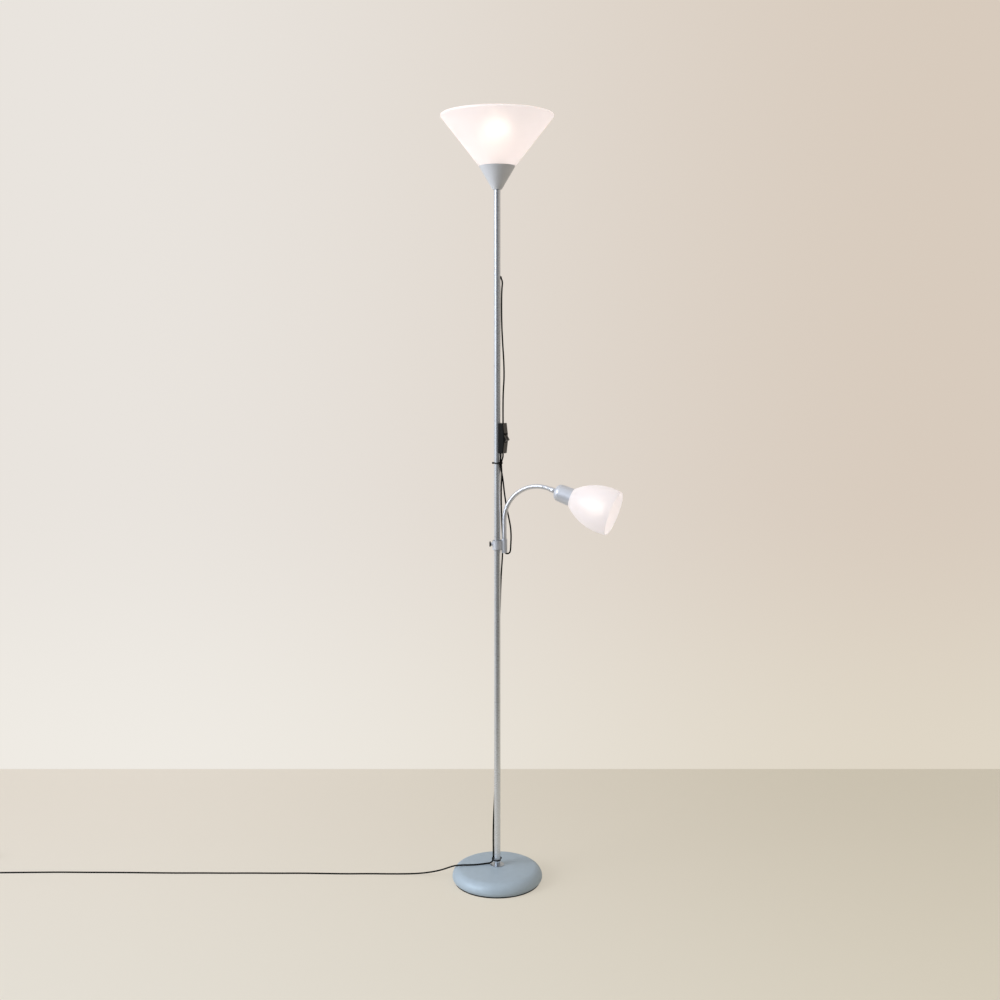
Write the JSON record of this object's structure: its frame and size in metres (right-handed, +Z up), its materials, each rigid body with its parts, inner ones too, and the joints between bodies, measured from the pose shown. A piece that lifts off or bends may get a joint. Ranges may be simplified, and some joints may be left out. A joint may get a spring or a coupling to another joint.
{
  "type": "torchiere floor lamp with reading light",
  "caption": "Floor lamp with a frosted cone uplight on a thin pole, a dome base, an inline switch and a reading light on a gooseneck clamped to the pole.",
  "frame": {"origin": "on the floor, on the pole's axis, at the underside of the base pad", "axes": "+Z up along the pole, +X towards the side of the reading arm, +Y away from the viewer"},
  "size_m": [1.5839, 0.2904, 1.78],
  "materials": {
    "painted_silver": "satin silver paint",
    "zinc_steel": "zinc plated",
    "chrome_hose": "polished chrome",
    "cast_weight": "raw casting",
    "black_rubber": "matte",
    "dark_cord": "satin sheath",
    "black_plastic": "smooth moulded",
    "grey_plastic": "smooth moulded",
    "holder_plastic": "smooth moulded",
    "frosted_shade": "frosted translucent",
    "opal_glass": "opal",
    "cap_metal": "bright",
    "contact_brass": "bright"
  },
  "bodies": {
    "stand": {"foot_pad": "black_rubber", "base_bottom_plate": "zinc_steel", "base_weight": "cast_weight", "base_cover": "painted_silver", "base_bolt": "zinc_steel", "base_washer": "zinc_steel", "pole_washer": "painted_silver", "pole_foot_bush": "zinc_steel", "pole_tube_1": "painted_silver", "pole_tube_2": "painted_silver", "pole_tube_3": "painted_silver", "pole_tube_4": "painted_silver", "pole_joint_1": "zinc_steel", "pole_joint_2": "zinc_steel", "pole_joint_3": "zinc_steel", "pole_top_bush": "zinc_steel", "uplight_nipple": "zinc_steel", "uplight_cup": "painted_silver", "uplight_lampholder": "holder_plastic", "uplight_contact": "contact_brass", "uplight_shade": "frosted_shade", "uplight_shade_ring": "holder_plastic", "uplight_bulb_cap": "cap_metal", "uplight_bulb_glass": "opal_glass", "uplight_inner_lead": "dark_cord", "cord_exit_grommet": "black_rubber", "uplight_cord": "dark_cord", "switch_lower_shell": "black_plastic", "switch_upper_shell": "black_plastic", "rocker_axle": "zinc_steel", "switch_screws": "zinc_steel", "cord_tie_upper": "black_plastic", "cord_tie_base": "black_plastic", "supply_cord": "dark_cord", "supply_cord_coil": "dark_cord", "plug_body": "black_plastic", "plug_pins": "cap_metal", "reading_cord": "dark_cord"},
    "collar": {"clamp_liner": "grey_plastic"},
    "clamp": {"clamp_body": "painted_silver", "gooseneck_lower_ferrule": "chrome_hose", "gooseneck_1": "chrome_hose"},
    "knob": {"clamp_screw": "zinc_steel", "clamp_knob": "black_plastic"},
    "rocker_1": {"switch_rocker_1": "black_plastic"},
    "rocker_2": {"switch_rocker_2": "black_plastic"},
    "hose_2": {"gooseneck_2": "chrome_hose"},
    "hose_3": {"gooseneck_3": "chrome_hose"},
    "hose_4": {"gooseneck_4": "chrome_hose"},
    "hose_5": {"gooseneck_5": "chrome_hose"},
    "hose_6": {"gooseneck_6": "chrome_hose"},
    "hose_7": {"gooseneck_7": "chrome_hose"},
    "head": {"gooseneck_top_ferrule": "chrome_hose", "reading_cup": "painted_silver", "reading_lampholder": "holder_plastic", "reading_contact": "contact_brass", "reading_shade": "frosted_shade", "reading_shade_ring": "holder_plastic", "reading_bulb_cap": "cap_metal", "reading_bulb_glass": "opal_glass"}
  },
  "joints": [
    {"name": "clamp_slide", "type": "slide", "parent": "stand", "child": "collar", "axis": [0, 0, 1], "range_m": [-0.01, 0.06], "deforming": ["reading_cord"]},
    {"name": "clamp_swivel", "type": "hinge", "parent": "collar", "child": "clamp", "pos_m": [0, 0, 0.8125], "axis": [0, 0, 1], "range_deg": [-150, 12]},
    {"name": "knob_turn", "type": "hinge", "parent": "clamp", "child": "knob", "pos_m": [-0.0152, 0, 0.8145], "axis": [1, 0, 0], "range_deg": [0, 270]},
    {"name": "arm_sway_1", "type": "hinge", "parent": "clamp", "child": "hose_2", "pos_m": [0.0165, 0, 0.8579], "axis": [-0.9397, 0.342, 0], "range_deg": [-12, 12]},
    {"name": "arm_bend_2", "type": "hinge", "parent": "hose_2", "child": "hose_3", "pos_m": [0.01792, -0.00052, 0.8857], "axis": [0.342, 0.9397, 0], "range_deg": [-16, 13]},
    {"name": "arm_sway_3", "type": "hinge", "parent": "hose_3", "child": "hose_4", "pos_m": [0.02718, -0.00389, 0.91165], "axis": [-0.8094, 0.2946, 0.508], "range_deg": [-12.5, 12.5]},
    {"name": "arm_bend_4", "type": "hinge", "parent": "hose_4", "child": "hose_5", "pos_m": [0.04405, -0.01003, 0.93284], "axis": [0.342, 0.9397, 0], "range_deg": [-16.5, 13.5]},
    {"name": "arm_sway_5", "type": "hinge", "parent": "hose_5", "child": "hose_6", "pos_m": [0.06659, -0.01823, 0.94681], "axis": [-0.3289, 0.1197, 0.9368], "range_deg": [-12.5, 12.5]},
    {"name": "arm_bend_6", "type": "hinge", "parent": "hose_6", "child": "hose_7", "pos_m": [0.09222, -0.02756, 0.95199], "axis": [0.342, 0.9397, 0], "range_deg": [-16.5, 13.5]},
    {"name": "arm_bend_7", "type": "hinge", "parent": "hose_7", "child": "head", "pos_m": [0.118, -0.03694, 0.94776], "axis": [0.342, 0.9397, 0], "range_deg": [-16.5, 13.5]},
    {"name": "rocker_1_tilt", "type": "hinge", "parent": "stand", "child": "rocker_1", "pos_m": [0.0137, -0.01494, 1.062], "axis": [0.4067, 0.9135, 0], "range_deg": [0, 20]},
    {"name": "rocker_2_tilt", "type": "hinge", "parent": "stand", "child": "rocker_2", "pos_m": [0.01818, -0.0049, 1.062], "axis": [0.4067, 0.9135, 0], "range_deg": [0, 20]}
  ],
  "couplings": [
    {"joint": "arm_sway_3", "follows": "arm_sway_1", "ratio": 1},
    {"joint": "arm_bend_4", "follows": "arm_bend_2", "ratio": 1},
    {"joint": "arm_sway_5", "follows": "arm_sway_1", "ratio": 1},
    {"joint": "arm_bend_6", "follows": "arm_bend_2", "ratio": 1},
    {"joint": "arm_bend_7", "follows": "arm_bend_2", "ratio": 1}
  ]
}
